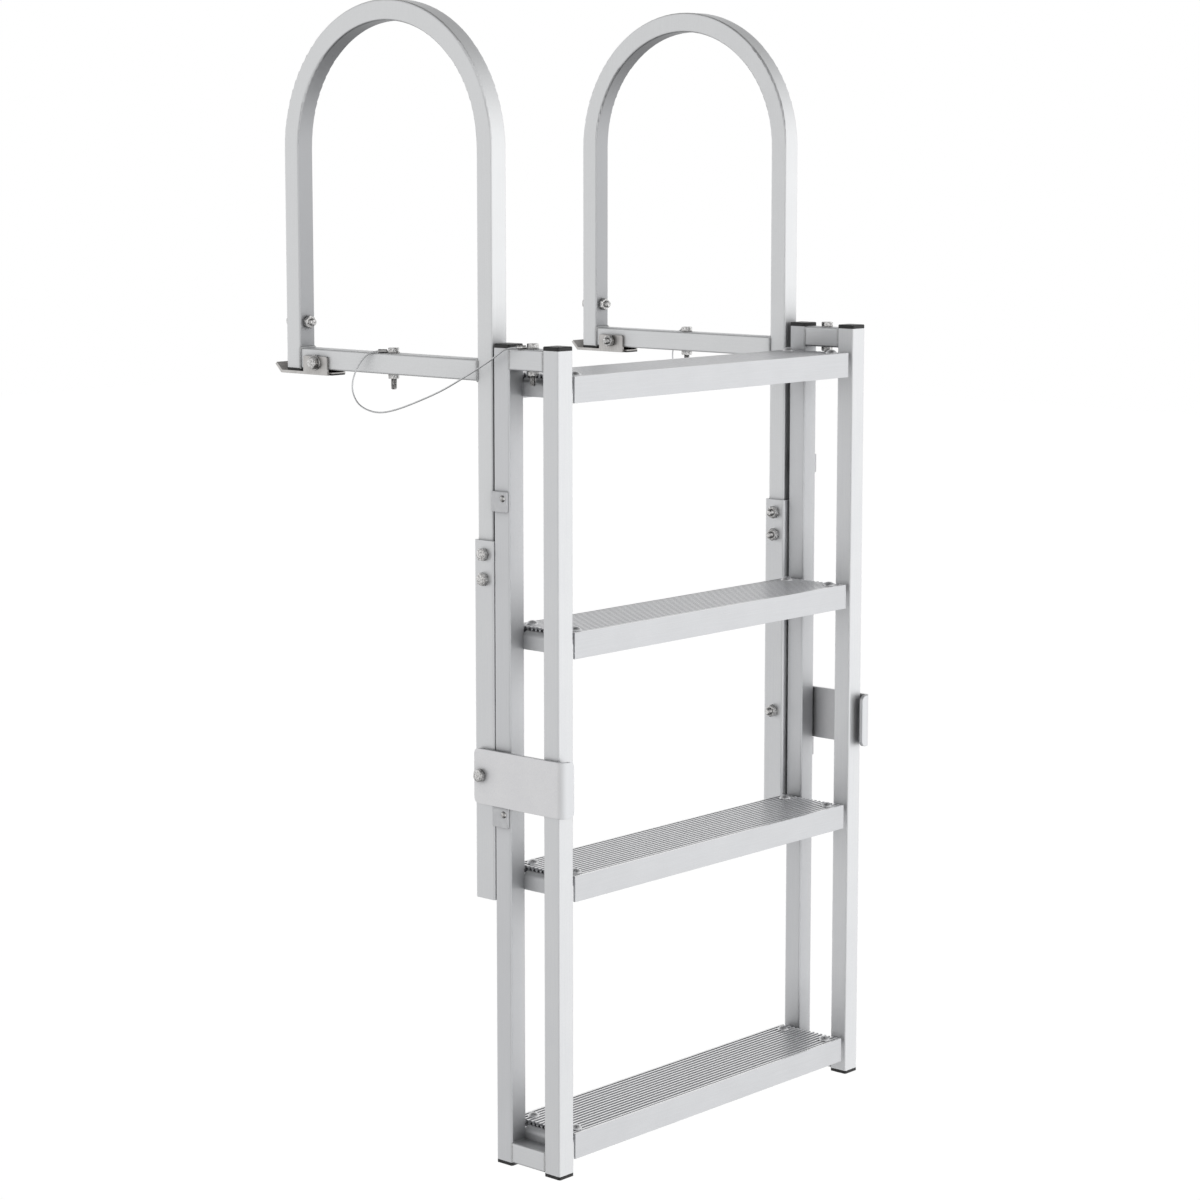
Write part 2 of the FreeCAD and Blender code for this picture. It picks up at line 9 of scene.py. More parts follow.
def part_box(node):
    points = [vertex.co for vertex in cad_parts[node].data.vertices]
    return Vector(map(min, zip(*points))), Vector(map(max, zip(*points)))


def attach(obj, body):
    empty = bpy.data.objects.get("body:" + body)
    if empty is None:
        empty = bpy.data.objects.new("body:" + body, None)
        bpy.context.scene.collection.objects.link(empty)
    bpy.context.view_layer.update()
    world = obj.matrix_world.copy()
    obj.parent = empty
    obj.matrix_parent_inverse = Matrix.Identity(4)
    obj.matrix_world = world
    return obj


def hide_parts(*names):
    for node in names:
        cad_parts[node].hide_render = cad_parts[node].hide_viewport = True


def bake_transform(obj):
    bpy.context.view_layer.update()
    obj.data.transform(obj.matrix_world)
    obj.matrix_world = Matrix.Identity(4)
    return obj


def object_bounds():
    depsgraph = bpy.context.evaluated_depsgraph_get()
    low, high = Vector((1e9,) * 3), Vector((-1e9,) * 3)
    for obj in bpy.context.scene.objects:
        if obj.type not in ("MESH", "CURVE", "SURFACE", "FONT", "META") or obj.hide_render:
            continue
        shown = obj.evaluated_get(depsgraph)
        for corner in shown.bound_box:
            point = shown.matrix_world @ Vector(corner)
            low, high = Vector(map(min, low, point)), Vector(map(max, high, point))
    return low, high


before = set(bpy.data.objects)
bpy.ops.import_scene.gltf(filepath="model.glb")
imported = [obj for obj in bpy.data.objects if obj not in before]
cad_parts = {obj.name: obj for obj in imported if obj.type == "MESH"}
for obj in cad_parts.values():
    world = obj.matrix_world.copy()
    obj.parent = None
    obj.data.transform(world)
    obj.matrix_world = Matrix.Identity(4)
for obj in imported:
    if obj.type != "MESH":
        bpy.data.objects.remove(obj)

cadBounds = [list(corner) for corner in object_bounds()]
mm = 0.001

# The frame: X along the treads, -Y towards the water, Z up, in metres. The origin is
# under the middle of the left dock foot. Pieces are made on the right side and mirrored.
leftRail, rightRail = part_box("left_front_rail"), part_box("right_front_rail")
rearRail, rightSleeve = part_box("right_rear_rail"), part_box("right_post_sleeve")
rightGuide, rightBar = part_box("right_guide_bracket"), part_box("right_deck_bar")
rightFoot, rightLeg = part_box("right_dock_foot"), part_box("right_handrail")
middleX = (rightRail[1].x + leftRail[0].x) / 2
tube = rightRail[1].x - rightRail[0].x
railX = (rightRail[0].x + rightRail[1].x) / 2
barX = (rightBar[0].x + rightBar[1].x) / 2
barY = (rightBar[0].y + rightBar[1].y) / 2
barTop = rightBar[1].z
postY = (rightSleeve[0].y + rightSleeve[1].y) / 2
railTop = rearRail[1].z
crossY = (rightRail[1].y + rearRail[0].y) / 2


def addNode(tree, kind, values=None, links=None, **settings):
    # a link's source is a socket, or a node whose first output is meant
    node = tree.nodes.new(kind)
    for name, value in settings.items():
        setattr(node, name, value)
    for socket, value in (values or {}).items():
        node.inputs[socket].default_value = value
    for socket, source in (links or {}).items():
        output = source.outputs[0] if isinstance(source, bpy.types.Node) else source
        tree.links.new(output, node.inputs[socket])
    return node


def colour(code):
    # sRGB hex to the linear values that the sockets take
    parts = [int(code[i:i + 2], 16) / 255 for i in (0, 2, 4)]
    return [c / 12.92 if c < 0.04045 else ((c + 0.055) / 1.055) ** 2.4 for c in parts] + [1.0]


def meshObject(name, mesh):
    piece = bpy.data.objects.new(name, mesh)
    bpy.context.scene.collection.objects.link(piece)
    return piece


def otherSide(point):
    return Vector((2 * middleX - point.x, point.y, point.z))


def frozen(source, name):
    # the evaluated mesh as a plain object, with no modifier left
    graph = bpy.context.evaluated_depsgraph_get()
    mesh = bpy.data.meshes.new_from_object(source.evaluated_get(graph), depsgraph=graph)
    bpy.data.objects.remove(source)
    mesh.name = name
    return meshObject(name, mesh)


# Finishes


def startFinish(name):
    finish = bpy.data.materials.new(name)
    finish.use_nodes = True
    tree = finish.node_tree
    tree.nodes.clear()
    shader = addNode(tree, "ShaderNodeBsdfPrincipled")
    addNode(tree, "ShaderNodeOutputMaterial", links={"Surface": shader})
    return finish, tree, shader, addNode(tree, "ShaderNodeTexCoord").outputs["Object"]


def dress(tree, shader, pattern, look, skins=()):
    # The pattern drives tone, gloss and relief together. Edges catch light over a small radius, what faces a
    # near surface gets a painted shade, and a skin lays its tone and gloss over its own share.
    level = addNode(tree, "ShaderNodeMapRange",
                    {"From Min": look["range"][0], "From Max": look["range"][1]}, {"Value": pattern})
    tint = addNode(tree, "ShaderNodeMix", {6: colour(look["dark"]), 7: colour(look["light"])},
                   {0: level}, data_type="RGBA")
    gloss = addNode(tree, "ShaderNodeMapRange",
                    {"To Min": look["rough"][0], "To Max": look["rough"][1]}, {"Value": level})
    for tone, rough, share in skins:
        tint = addNode(tree, "ShaderNodeMix", {7: colour(tone)}, {0: share, 6: tint.outputs[2]},
                       data_type="RGBA")
        gloss = addNode(tree, "ShaderNodeMix", {3: rough}, {0: share, 2: gloss}, data_type="FLOAT")
    edge = addNode(tree, "ShaderNodeBevel", {"Radius": look["edge"]}, samples=4)
    relief = addNode(tree, "ShaderNodeBump", {"Distance": look["depth"]},
                     {"Height": pattern, "Normal": edge})
    # painted shade: an occlusion node blends the colour towards the shade colour near other surfaces
    paintedShadeAmount = addNode(tree, "ShaderNodeAmbientOcclusion", {"Distance": look["reach"]}, samples=4,
                        only_local=look.get("local", False))
    paintedShadeTint = addNode(tree, "ShaderNodeMix", {6: colour(look["paintedShade"])},
                     {0: paintedShadeAmount.outputs["AO"], 7: tint.outputs[2]}, data_type="RGBA")
    tree.links.new(paintedShadeTint.outputs[2], shader.inputs["Base Color"])
    tree.links.new(gloss.outputs[0], shader.inputs["Roughness"])
    tree.links.new(relief.outputs[0], shader.inputs["Normal"])
    shader.inputs["Metallic"].default_value = look["metallic"]


def layered(tree, place, sizes, stretch=None):
    # noises of several real sizes added up; the first one may be drawn out along an axis
    total = None
    for i, size in enumerate(sizes):
        where = place
        if i == 0 and stretch is not None:
            where = addNode(tree, "ShaderNodeMapping", {"Scale": stretch}, {"Vector": place})
        layer = addNode(tree, "ShaderNodeTexNoise", {"Scale": 1 / size, "Detail": 2.0},
                        {"Vector": where})
        if total is None:
            total = layer
        else:
            total = addNode(tree, "ShaderNodeMath", None, {0: total, 1: layer}, operation="ADD")
    return total.outputs[0]


# a drawn pattern's fineness along the draw, as a share of that across it
drawStretch = 0.015
# in each look, shade and reach give the colour and distance of the painted shade
aluminiumLook = {
    "dark": "E0E1E3", "light": "E9EAEB", "range": (1.1, 1.9), "rough": (0.53, 0.59),
    "sizes": (0.8 * mm, 45 * mm, 1.1 * mm), "depth": 0.012 * mm, "edge": 0.4 * mm, "metallic": 1.0,
    "paintedShade": "77787A", "reach": 50 * mm,
}
# the rear rails take a darker copy of the tube finish with a longer reach: painted shade
shadedRearRailLook = dict(aluminiumLook, dark="D9DADC", light="E2E3E5", reach=85 * mm)
# the handrail and deck bars take a lighter copy of the tube finish: painted light
litHandrailLook = dict(aluminiumLook, dark="E5E6E7", light="EDEEEF")
# a painted shade on the inside of the loop, with its gloss and the edges of its mask
bentLook = dict(litHandrailLook, inner="B8B9BB", innerRough=0.56, innerEdge=12.6 * mm, outerEdge=11.0 * mm)
# on the treads a painted highlight lies on the rib tops and a painted shade in the grooves
treadLook = dict(aluminiumLook, dark="D3D4D6", light="DDDEE0", edge=0.15 * mm, local=True, reach=4 * mm,
                 paintedShade="C0C1C3", paintedRibHighlight="F7F7F8", ribTopRough=0.36, groove="A2A3A6", grooveRough=0.56,
                 grooveTop=0.02 * mm, grooveEnd=0.16 * mm, grooveFloor=2.7 * mm, flange=3.0 * mm,
                 flangeMargin=0.1 * mm)


def anodisedExtrusion(name, drawAxis, look):
    # Clear-anodised 6061 extrusion: soft satin grey, faint die lines along the draw,
    # cloudy tone a hand wide and a fine etched grain, drawn coarse enough to show.
    finish, tree, shader, place = startFinish(name)
    stretch = [1.0, 1.0, 1.0]
    stretch[drawAxis] = drawStretch
    dress(tree, shader, layered(tree, place, look["sizes"], stretch), look)
    return finish


def bentExtrusion(name):
    # The same tube bent to the handrail, with a painted shade on the inside of the loop.
    finish, tree, shader, place = startFinish(name)
    radius = (rightLeg[1].y - tube / 2 - postY) / 2
    archZ = rightLeg[1].z - tube / 2 - radius
    axes = addNode(tree, "ShaderNodeSeparateXYZ", None, {0: place})
    aside = addNode(tree, "ShaderNodeMath", {1: barY}, {0: axes.outputs[1]}, operation="SUBTRACT")
    above = addNode(tree, "ShaderNodeMath", {1: archZ}, {0: axes.outputs[2]}, operation="SUBTRACT")
    raised = addNode(tree, "ShaderNodeMath", {1: 0.0}, {0: above}, operation="MAXIMUM")
    reach = addNode(tree, "ShaderNodeCombineXYZ", {0: 0.0}, {1: aside, 2: raised})
    away = addNode(tree, "ShaderNodeVectorMath", None, {0: reach}, operation="LENGTH")
    # painted shade: the mask is 1 on the inside of the loop
    inner = addNode(tree, "ShaderNodeMapRange",
                    {"From Min": radius - bentLook["outerEdge"], "From Max": radius - bentLook["innerEdge"]},
                    {"Value": away.outputs["Value"]})
    dress(tree, shader, layered(tree, place, bentLook["sizes"], (1.0, 1.0, drawStretch)), bentLook,
          [(bentLook["inner"], bentLook["innerRough"], inner)])
    return finish


def ribbedExtrusion(name, low, high):
    # A tread between its box corners: a painted highlight and a glossier skin on the rib tops, a painted
    # shade and a duller skin in the grooves.
    finish, tree, shader, place = startFinish(name)
    axes = addNode(tree, "ShaderNodeSeparateXYZ", None, {0: place})
    drop = addNode(tree, "ShaderNodeMath", {0: high.z}, {1: axes.outputs[2]}, operation="SUBTRACT")
    # painted highlight on the rib tops
    paintedRibHighlight = addNode(tree, "ShaderNodeMapRange", {"From Min": treadLook["grooveTop"] * 3,
                                                "From Max": treadLook["grooveTop"]}, {"Value": drop})
    # painted shade in the grooves, kept off the flanges
    groove = addNode(tree, "ShaderNodeMapRange", {"From Min": treadLook["grooveTop"],
                                                  "From Max": treadLook["grooveEnd"]}, {"Value": drop})
    above = addNode(tree, "ShaderNodeMath", {1: treadLook["grooveFloor"]}, {0: drop},
                    operation="LESS_THAN")
    flange = treadLook["flange"] - treadLook["flangeMargin"]
    behind = addNode(tree, "ShaderNodeMath", {1: low.y + flange}, {0: axes.outputs[1]},
                     operation="GREATER_THAN")
    ahead = addNode(tree, "ShaderNodeMath", {1: high.y - flange}, {0: axes.outputs[1]},
                    operation="LESS_THAN")
    for share in (above, behind, ahead):
        groove = addNode(tree, "ShaderNodeMath", None, {0: groove, 1: share}, operation="MULTIPLY")
    dress(tree, shader, layered(tree, place, treadLook["sizes"], (drawStretch, 1.0, 1.0)), treadLook,
          [(treadLook["groove"], treadLook["grooveRough"], groove),
           (treadLook["paintedRibHighlight"], treadLook["ribTopRough"], paintedRibHighlight)])
    return finish


bracketLook = {
    "dark": "EAEAEC", "light": "F3F3F4", "range": (0.7, 1.3), "rough": (0.55, 0.6),
    # the lip colour is a painted shade on the bent lip
    "lip": "E6E7E9", "lipRough": 0.6, "lipStart": 2.5 * mm, "lipEnd": 7.0 * mm,
    "sizes": (30 * mm, 1.4 * mm), "depth": 0.02 * mm, "edge": 0.7 * mm, "metallic": 1.0,
    "paintedShade": "77787A", "reach": 60 * mm,
}


def blastedPlate(name):
    # Bead-blasted and anodised 5052 plate of the guide brackets: paler, even and matt,
    # with a painted shade and a duller gloss on the lip that the press bent round.
    finish, tree, shader, place = startFinish(name)
    axes = addNode(tree, "ShaderNodeSeparateXYZ", None, {0: place})
    # painted shade on the lip
    lip = addNode(tree, "ShaderNodeMapRange", {"From Min": rightGuide[0].y + bracketLook["lipEnd"],
                                               "From Max": rightGuide[0].y + bracketLook["lipStart"]},
                  {"Value": axes.outputs[1]})
    dress(tree, shader, layered(tree, place, bracketLook["sizes"]), bracketLook,
          [(bracketLook["lip"], bracketLook["lipRough"], lip)])
    return finish


fastenerLook = {
    "dark": "8A8988", "light": "ECEBEA", "range": (0.8, 1.2), "rough": (0.14, 0.3),
    "sizes": (0.5 * mm, 2.2 * mm), "depth": 0.02 * mm, "edge": 0.25 * mm, "metallic": 1.0,
    "paintedShade": "2A2B2D", "reach": 4 * mm,
}
# the dome heads take a lighter copy of the stainless finish: painted light, and a lighter painted shade
litDomeLook = dict(fastenerLook, dark="CFD0D2", light="F8F8F9", rough=(0.34, 0.46), paintedShade="909193",
                reach=2 * mm)


def stainlessFastener(name, look):
    # Turned A4 stainless: glossier and more contrasty than the tubes, with a painted shade where it seats.
    finish, tree, shader, place = startFinish(name)
    dress(tree, shader, layered(tree, place, look["sizes"]), look)
    return finish


footLook = {
    "dark": "B3B1AF", "light": "D2D0CE", "range": (0.7, 1.3), "rough": (0.28, 0.42),
    "sizes": (0.7 * mm, 12 * mm), "brush": 0.04, "depth": 0.015 * mm, "edge": 0.6 * mm, "metallic": 1.0,
    "paintedShade": "54504B", "reach": 25 * mm,
}


def pressedStainless(name):
    # Pressed 304 sheet of the dock feet, brushed upright: a slightly brown grey.
    finish, tree, shader, place = startFinish(name)
    dress(tree, shader, layered(tree, place, footLook["sizes"], (1.0, 1.0, footLook["brush"])), footLook)
    return finish


ropeLook = {
    "dark": "C4C5C7", "light": "E8E9EA", "range": (0.3, 0.7), "rough": (0.38, 0.46),
    "sizes": (0.5 * mm,), "depth": 0.01 * mm, "edge": 0.1 * mm, "metallic": 1.0,
    "paintedShade": "8A8B8D", "reach": 2 * mm,
}


def galvanisedRope(name):
    # Galvanised 6-strand steel rope: dull zinc grey.
    finish, tree, shader, place = startFinish(name)
    dress(tree, shader, layered(tree, place, ropeLook["sizes"]), ropeLook)
    return finish


capLook = {
    "dark": "0D0D0E", "light": "19191A", "range": (0.6, 1.4), "rough": (0.38, 0.5),
    "sizes": (9 * mm, 0.8 * mm), "depth": 0.03 * mm, "edge": 0.5 * mm, "metallic": 0.0,
    "paintedShade": "0A0A0B", "reach": 10 * mm,
}


def mouldedPolyethylene(name):
    # Injection-moulded black polyethylene: a semi-matt skin with a slight orange peel.
    finish, tree, shader, place = startFinish(name)
    dress(tree, shader, layered(tree, place, capLook["sizes"]), capLook)
    return finish


padLook = dict(capLook, rough=(0.65, 0.75))


def padRubber(name):
    # Black EPDM pad: as black, but dull.
    finish, tree, shader, place = startFinish(name)
    dress(tree, shader, layered(tree, place, padLook["sizes"]), padLook)
    return finish


clipLook = {
    "dark": "E6E7EA", "light": "F0F1F3", "range": (0.3, 0.7), "rough": (0.28, 0.36),
    "sizes": (6 * mm,), "depth": 0.03 * mm, "edge": 0.4 * mm, "metallic": 0.0,
    "paintedShade": "989A9C", "reach": 5 * mm,
}


def naturalNylon(name):
    # Natural nylon stop clips: a milky pale grey with a glossy skin.
    finish, tree, shader, place = startFinish(name)
    dress(tree, shader, layered(tree, place, clipLook["sizes"]), clipLook)
    return finish


weldLook = {
    "dark": "D4D5D6", "light": "E8E9E9", "range": (0.3, 0.7), "rough": (0.45, 0.52),
    "sizes": (1.5 * mm,), "depth": 0.02 * mm, "edge": 0.1 * mm, "metallic": 1.0,
    "paintedShade": "77787A", "reach": 60 * mm,
}


def weldBead(name):
    # 5356 filler as laid by TIG: the tube's tone, rippled.
    finish, tree, shader, place = startFinish(name)
    dress(tree, shader, layered(tree, place, weldLook["sizes"]), weldLook)
    return finish


bentTube = bentExtrusion("anodisedTubeBent")
upright = anodisedExtrusion("anodisedTubeUpright", 2, dict(aluminiumLook, local=True))
rearTube = anodisedExtrusion("anodisedTubeRear", 2, shadedRearRailLook)
levelTube = anodisedExtrusion("anodisedTubeLevel", 1, aluminiumLook)
barTube = anodisedExtrusion("anodisedTubeBar", 1, litHandrailLook)
bracketPlate = blastedPlate("blastedBracketPlate")
boltSteel = stainlessFastener("stainlessFastener", fastenerLook)
domeSteel = stainlessFastener("stainlessDome", litDomeLook)
footPlate = pressedStainless("pressedFootPlate")
ropeSteel = galvanisedRope("galvanisedRope")
capPlastic = mouldedPolyethylene("blackCapPlastic")
footRubber = padRubber("blackPadRubber")
clipPlastic = naturalNylon("naturalNylonClip")
weldMetal = weldBead("aluminiumWeld")

nodeFinishes = [
    (bentTube, ["handrail"]),
    (upright, ["post_sleeve", "front_rail"]),
    (rearTube, ["rear_rail"]),
    (barTube, ["deck_bar"]),
    (levelTube, ["top_cross_tube", "bottom_cross_tube", "_angles"]),
    (bracketPlate, ["guide_bracket"]),
    (footPlate, ["dock_foot"]),
    (capPlastic, ["rail_top_caps", "rail_foot_caps", "leg_end_caps"]),
    (footRubber, ["foot_toe_pads"]),
    (boltSteel, ["_bolts", "_screws", "_eyes"]),
    (clipPlastic, ["stop_clips"]),
    (ropeSteel, ["lanyard"]),
]
for number in range(1, 5):
    treadName = "tread_%d" % number
    nodeFinishes.append((ribbedExtrusion("anodisedTread%d" % number, *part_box(treadName)), [treadName]))
for nodeName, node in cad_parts.items():
    for finish, endings in nodeFinishes:
        if any(nodeName.endswith(ending) for ending in endings):
            node.data.materials.clear()
            node.data.materials.append(finish)
print("finishes on", len(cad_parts), "nodes")


# Fasteners. Each is made with its seat at z = 0 and its shank along +Z.


fastenerShape = {"chamfer": 30, "turnedShare": 0.96, "threadDepth": 0.6, "stepsAPitch": 6, "smoothAngle": 35}


def levelRing(build, radius, height, sides):
    turn = [math.tau * i / sides for i in range(sides)]
    return [build.verts.new((radius * math.cos(a), radius * math.sin(a), height)) for a in turn]


def spunMesh(profile, sides):
    # a closed surface of revolution round Z from (radius, height) pairs
    build = bmesh.new()
    rings = []
    for radius, height in profile:
        if radius < 1e-7:
            rings.append([build.verts.new((0, 0, height))])
            continue
        rings.append(levelRing(build, radius, height, sides))
    joinRings(build, rings)
    return build


def joinRings(build, rings):
    for low, high in zip(rings, rings[1:]):
        count = max(len(low), len(high))
        for i in range(count):
            below = [low[i % len(low)], low[(i + 1) % len(low)]]
            above = [high[(i + 1) % len(high)], high[i % len(high)]]
            build.faces.new(list(dict.fromkeys(below + above)))


def hexBlock(build, flats, low, high, chamferLow, chamferHigh, sides=48):
    # a hexagon whose corners are turned off on the chamfered ends
    turned = flats / 2 * fastenerShape["turnedShare"]
    rings = [[build.verts.new((0, 0, low))]]
    outline = []
    for i in range(sides):
        a = math.tau * i / sides
        outline.append((a, flats / 2 / math.cos((a + math.pi / 6) % (math.pi / 3) - math.pi / 6)))
    for end, chamfer, way in ((low, chamferLow, 1), (high, chamferHigh, -1)):
        flat = [build.verts.new((turned * math.cos(a), turned * math.sin(a), end)) for a, r in outline]
        drop = math.tan(math.radians(fastenerShape["chamfer"])) if chamfer else 0.0
        side = []
        for a, r in outline:
            side.append(build.verts.new((r * math.cos(a), r * math.sin(a), end + way * (r - turned) * drop)))
        rings += [flat, side] if way > 0 else [side, flat]
    rings.append([build.verts.new((0, 0, high))])
    joinRings(build, rings)


def threadedRod(build, diameter, pitch, start, end, sides=20):
    # V thread: the radius falls and rises once a pitch, a turn behind at each side
    depth = fastenerShape["threadDepth"] * pitch
    steps = max(4, round((end - start) / pitch * fastenerShape["stepsAPitch"]))
    rings = [[build.verts.new((0, 0, start))]]
    for k in range(steps + 1):
        z = start + (end - start) * k / steps
        taper = min(1.0, 0.75 + 0.25 * (end - z) / pitch)
        ring = []
        for i in range(sides):
            phase = (z / pitch - i / sides) % 1.0
            radius = (diameter / 2 - depth * abs(2 * phase - 1)) * taper
            a = math.tau * i / sides
            ring.append(build.verts.new((radius * math.cos(a), radius * math.sin(a), z)))
        rings.append(ring)
    rings.append([build.verts.new((0, 0, end))])
    joinRings(build, rings)


def addSpun(build, profile, sides=32):
    part = spunMesh(profile, sides)
    mesh = bpy.data.meshes.new("spun")
    part.to_mesh(mesh)
    part.free()
    build.from_mesh(mesh)
    bpy.data.meshes.remove(mesh)


def finishMesh(build, name, smoothAngle=fastenerShape["smoothAngle"]):
    bmesh.ops.recalc_face_normals(build, faces=build.faces)
    mesh = bpy.data.meshes.new(name)
    build.to_mesh(mesh)
    build.free()
    mesh.shade_smooth()
    mesh.set_sharp_from_angle(angle=math.radians(smoothAngle))
    return mesh


def hexBolt(name, sizes, grip, stud, washer=None):
    build = bmesh.new()
    seat = washer[1] if washer else 0.0
    hexBlock(build, sizes["flats"], -sizes["head"] - seat, -seat, True, False)
    hexBlock(build, sizes["flats"], grip, grip + sizes["nut"], True, True)
    if washer:
        radius, thick = washer
        addSpun(build, [(0, -thick), (radius - 0.3 * mm, -thick), (radius, -0.7 * thick), (radius, 0),
                        (0, 0)])
    shank, plainEnd = sizes["shank"] / 2, grip - 2 * mm
    addSpun(build, [(0, -1 * mm), (shank, -1 * mm), (shank, plainEnd), (0, plainEnd)], 20)
    threadedRod(build, sizes["shank"], sizes["pitch"], plainEnd, grip + sizes["nut"] + stud)
    return finishMesh(build, name)


def domeBolt(name, sizes, grip, stud):
    build = bmesh.new()
    rim, height = sizes["dome"] / 2, sizes["domeHeight"]
    ball = (rim * rim + height * height) / (2 * height)
    arc = []
    for i in range(9):
        a = math.asin(rim / ball) * i / 8
        arc.append((ball * math.sin(a), ball - height - ball * math.cos(a)))
    addSpun(build, arc + [(rim, 0.25 * mm), (0, 0.25 * mm)])
    addSpun(build, [(0, 0), (sizes["shank"] / 2, 0), (sizes["shank"] / 2, grip), (0, grip)], 20)
    if stud:
        hexBlock(build, sizes["flats"], grip, grip + sizes["nut"], True, True)
        threadedRod(build, sizes["shank"], sizes["pitch"], grip - 1 * mm, grip + sizes["nut"] + stud)
    return finishMesh(build, name)


def fastenerPlacer():
    # puts the fastener on each seat point, its shank along the point's way and turned by its roll
    tree = bpy.data.node_groups.new("fastenersOnSeats", "GeometryNodeTree")
    tree.interface.new_socket(name="Seats", in_out="INPUT", socket_type="NodeSocketGeometry")
    tree.interface.new_socket(name="Fastener", in_out="INPUT", socket_type="NodeSocketObject")
    tree.interface.new_socket(name="Finish", in_out="INPUT", socket_type="NodeSocketMaterial")
    tree.interface.new_socket(name="Fasteners", in_out="OUTPUT", socket_type="NodeSocketGeometry")
    given = addNode(tree, "NodeGroupInput")
    part = addNode(tree, "GeometryNodeObjectInfo", None, {"Object": given.outputs["Fastener"]})
    way = addNode(tree, "GeometryNodeInputNamedAttribute", {"Name": "way"}, data_type="FLOAT_VECTOR")
    roll = addNode(tree, "GeometryNodeInputNamedAttribute", {"Name": "roll"}, data_type="FLOAT")
    aimed = addNode(tree, "FunctionNodeAlignRotationToVector", None, {"Vector": way}, axis="Z")
    spun = addNode(tree, "FunctionNodeAxisAngleToRotation", {"Axis": (0, 0, 1)}, {"Angle": roll})
    turned = addNode(tree, "FunctionNodeRotateRotation", None, {"Rotation": aimed, "Rotate By": spun},
                     rotation_space="LOCAL")
    placed = addNode(tree, "GeometryNodeInstanceOnPoints", None,
                     {"Points": given.outputs["Seats"], "Instance": part.outputs["Geometry"],
                      "Rotation": turned})
    real = addNode(tree, "GeometryNodeRealizeInstances", None, {"Geometry": placed})
    coated = addNode(tree, "GeometryNodeSetMaterial", None,
                     {"Geometry": real, "Material": given.outputs["Finish"]})
    addNode(tree, "NodeGroupOutput", None, {"Fasteners": coated})
    return tree


def socketNamed(tree, name):
    return next(item.identifier for item in tree.interface.items_tree if item.name == name)


def placeFasteners(name, mesh, seats, body, nodes, seed, finish=boltSteel):
    # seats: (place, way) pairs on the right side; the left side mirrors them
    both = []
    for place, way in seats:
        both.append((place, way))
        both.append((otherSide(place), Vector((-way.x, way.y, way.z))))
    points = bpy.data.meshes.new(name)
    points.from_pydata([place for place, way in both], [], [])
    points.attributes.new("way", "FLOAT_VECTOR", "POINT")
    points.attributes.new("roll", "FLOAT", "POINT")
    turns = np.random.default_rng(seed).uniform(0, math.tau, len(both))
    for i, (place, way) in enumerate(both):
        points.attributes["way"].data[i].vector = way
        points.attributes["roll"].data[i].value = turns[i]
    source = meshObject(name + "Seats", points)
    part = meshObject(name + "Part", mesh)
    placer = source.modifiers.new("onSeats", "NODES")
    placer.node_group = seatTree
    placer[socketNamed(seatTree, "Fastener")] = part
    placer[socketNamed(seatTree, "Finish")] = finish
    placed = frozen(source, name)
    bpy.data.objects.remove(part)
    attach(placed, body)
    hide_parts(*nodes)


seatTree = fastenerPlacer()
bigHex = {"shank": 9.5 * mm, "flats": 14.3 * mm, "head": 5.8 * mm, "nut": 7.0 * mm, "pitch": 1.5 * mm}
smallHex = {"shank": 7.9 * mm, "flats": 12.7 * mm, "head": 5.4 * mm, "nut": 6.0 * mm, "pitch": 1.25 * mm}
treadBolt = dict(smallHex, dome=15.4 * mm, domeHeight=4.6 * mm)
clipScrew = {"shank": 3.6 * mm, "dome": 8.6 * mm, "domeHeight": 2.4 * mm, "grip": 5 * mm}
boltLayout = {
    "sleeveDrops": (16.7 * mm, 46.6 * mm),
    "guideDrop": 32.5 * mm,
    "legRise": 32.0 * mm,
    "eye": 1.4 * mm,
    "treadInset": 17.2 * mm,
    "treadFront": 14.9 * mm,
    "treadRear": 15.4 * mm,
    "deck": 4.5 * mm,
    "angle": 4.0 * mm,
    "washer": (9.5 * mm, 1.3 * mm),
    "stud": 6 * mm,
    "barStud": 13 * mm,
    "railStud": 12 * mm,
    "treadStud": 3 * mm,
}
inward, down, forward = Vector((-1, 0, 0)), Vector((0, 0, -1)), Vector((0, -1, 0))
sleeveSeats = []
for drop in boltLayout["sleeveDrops"]:
    sleeveSeats.append((Vector((rightSleeve[1].x, postY, rightSleeve[1].z - drop)), inward))
guideSeat = Vector((rightGuide[1].x, postY, rightGuide[1].z - boltLayout["guideDrop"]))
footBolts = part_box("foot_bolts")
footSeat = Vector((rightFoot[1].x, (footBolts[0].y + footBolts[1].y) / 2,
                   (footBolts[0].z + footBolts[1].z) / 2))
legSeat = Vector((barX, rightLeg[1].y, barTop + boltLayout["legRise"]))
barSeat = Vector((barX, barY, barTop + boltLayout["eye"]))
railSeat = Vector((railX, crossY, railTop + boltLayout["eye"]))
sleeveGrip = rightSleeve[1].x - rightSleeve[0].x
guideGrip = rightGuide[1].x - rightSleeve[0].x
footGrip = rightFoot[1].x - rightFoot[0].x
eyeGrip = tube + boltLayout["eye"]
stud = boltLayout["stud"]

